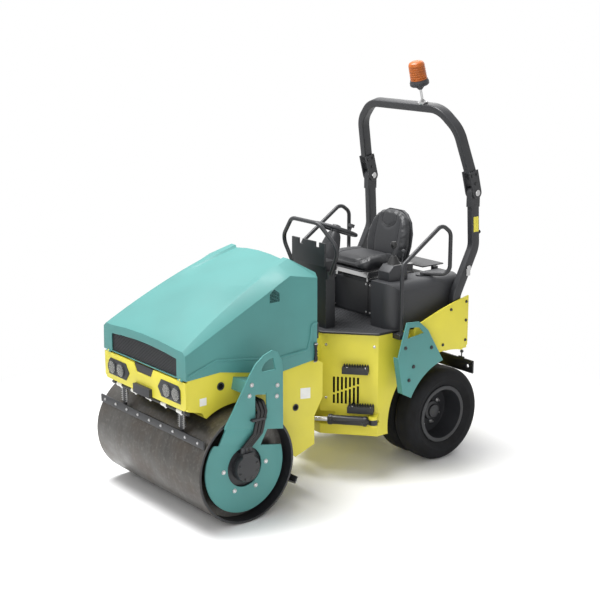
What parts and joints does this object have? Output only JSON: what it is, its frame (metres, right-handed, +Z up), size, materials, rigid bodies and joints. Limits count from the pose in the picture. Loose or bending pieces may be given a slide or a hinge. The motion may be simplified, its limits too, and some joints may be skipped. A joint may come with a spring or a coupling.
{
  "type": "articulated combination road roller",
  "caption": "Articulated ride-on road roller with a smooth steel drum in front, twin rubber tyres behind, a tilting hood, a folding roll hoop and an orange beacon.",
  "frame": {"origin": "on the ground below the middle of the machine", "axes": "+X forward towards the drum, +Y to the left, +Z up"},
  "size_m": [2.874, 1.478, 3.1224],
  "materials": {
    "teal_paint": "gloss",
    "yellow_paint": "gloss",
    "black_paint": "satin",
    "lamp_glass": "gloss",
    "cast_dark": "satin",
    "drum_steel": "worn",
    "bright_steel": "satin",
    "hose_rubber": "matte",
    "tyre_rubber": "matte",
    "black_plastic": "matte",
    "floor_grip": "matte",
    "seat_vinyl": "satin",
    "beacon_orange": "gloss"
  },
  "bodies": {
    "rear": {"rear_frame": "yellow_paint", "step_treads": "black_paint", "fenders": "yellow_paint", "tyre_guards": "teal_paint", "rear_axle": "cast_dark", "platform_floor": "floor_grip", "seat_console": "black_plastic", "side_fairings": "black_plastic", "seat_base": "bright_steel", "seat_cushion": "seat_vinyl", "seat_back": "seat_vinyl", "lever_console": "black_plastic", "dash_column": "black_paint", "front_rail": "black_paint", "side_rails": "black_paint", "rops_posts": "black_paint", "rear_shelf": "black_paint", "rear_bar": "black_paint", "link_hoses": "hose_rubber"},
    "centre": {"centre_joint": "cast_dark"},
    "front": {"front_frame": "yellow_paint", "bumper": "yellow_paint", "lamp_pods": "black_plastic", "headlamps": "lamp_glass", "engine_block": "cast_dark", "drum_yokes": "teal_paint", "drum_motors": "black_paint", "drum_hoses": "hose_rubber", "front_scraper": "black_paint", "rear_scraper": "black_paint", "spray_bar": "black_plastic"},
    "hood": {"hood": "teal_paint", "grille": "black_plastic", "hood_latches": "hose_rubber"},
    "drum": {"drum": "drum_steel"},
    "ram_barrel": {"steer_barrel": "black_paint"},
    "ram_rod": {"steer_rod": "bright_steel"},
    "wheel_left": {"rim_left": "black_paint", "tyre_left": "tyre_rubber"},
    "wheel_right": {"rim_right": "black_paint", "tyre_right": "tyre_rubber"},
    "steering_wheel": {"steering_wheel": "black_plastic"},
    "rops": {"rops_hoop": "black_paint", "beacon_stalk": "bright_steel", "beacon": "beacon_orange"}
  },
  "joints": [
    {"name": "steer", "type": "hinge", "parent": "rear", "child": "centre", "pos_m": [0.027, 0, 0.52], "axis": [0, 0, 1], "range_deg": [-33, 33]},
    {"name": "oscillate", "type": "hinge", "parent": "centre", "child": "front", "pos_m": [0.027, 0, 0.52], "axis": [1, 0, 0], "range_deg": [-8, 8]},
    {"name": "drum_spin", "type": "hinge", "parent": "front", "child": "drum", "pos_m": [1.01, 0, 0.407], "axis": [0, 1, 0], "continuous": true},
    {"name": "hood_tilt", "type": "hinge", "parent": "front", "child": "hood", "pos_m": [1.412, 0, 1.072], "axis": [0, 1, 0], "range_deg": [0, 60]},
    {"name": "ram_swing", "type": "hinge", "parent": "rear", "child": "ram_barrel", "pos_m": [-0.24, 0.59, 0.4533], "axis": [0, 0, 1], "range_deg": [-7, 7]},
    {"name": "ram_stroke", "type": "slide", "parent": "ram_barrel", "child": "ram_rod", "axis": [0.6406, -0.7679, 0], "range_m": [-0.105, 0.105]},
    {"name": "wheel_left_spin", "type": "hinge", "parent": "rear", "child": "wheel_left", "pos_m": [-0.957, 0.422, 0.374], "axis": [0, 1, 0], "continuous": true},
    {"name": "wheel_right_spin", "type": "hinge", "parent": "rear", "child": "wheel_right", "pos_m": [-0.957, -0.422, 0.374], "axis": [0, 1, 0], "continuous": true},
    {"name": "steering_wheel_turn", "type": "hinge", "parent": "rear", "child": "steering_wheel", "pos_m": [-0.352, 0, 1.842], "axis": [-0.3746, 0, 0.9272], "continuous": true},
    {"name": "rops_fold", "type": "hinge", "parent": "rear", "child": "rops", "pos_m": [-1.233, 0, 2.118], "axis": [0, -1, 0], "range_deg": [0, 130]}
  ],
  "couplings": [
    {"joint": "ram_swing", "follows": "steer", "ratio": -0.19194},
    {"joint": "ram_stroke", "follows": "steer", "m_per_rad": -0.17292}
  ]
}
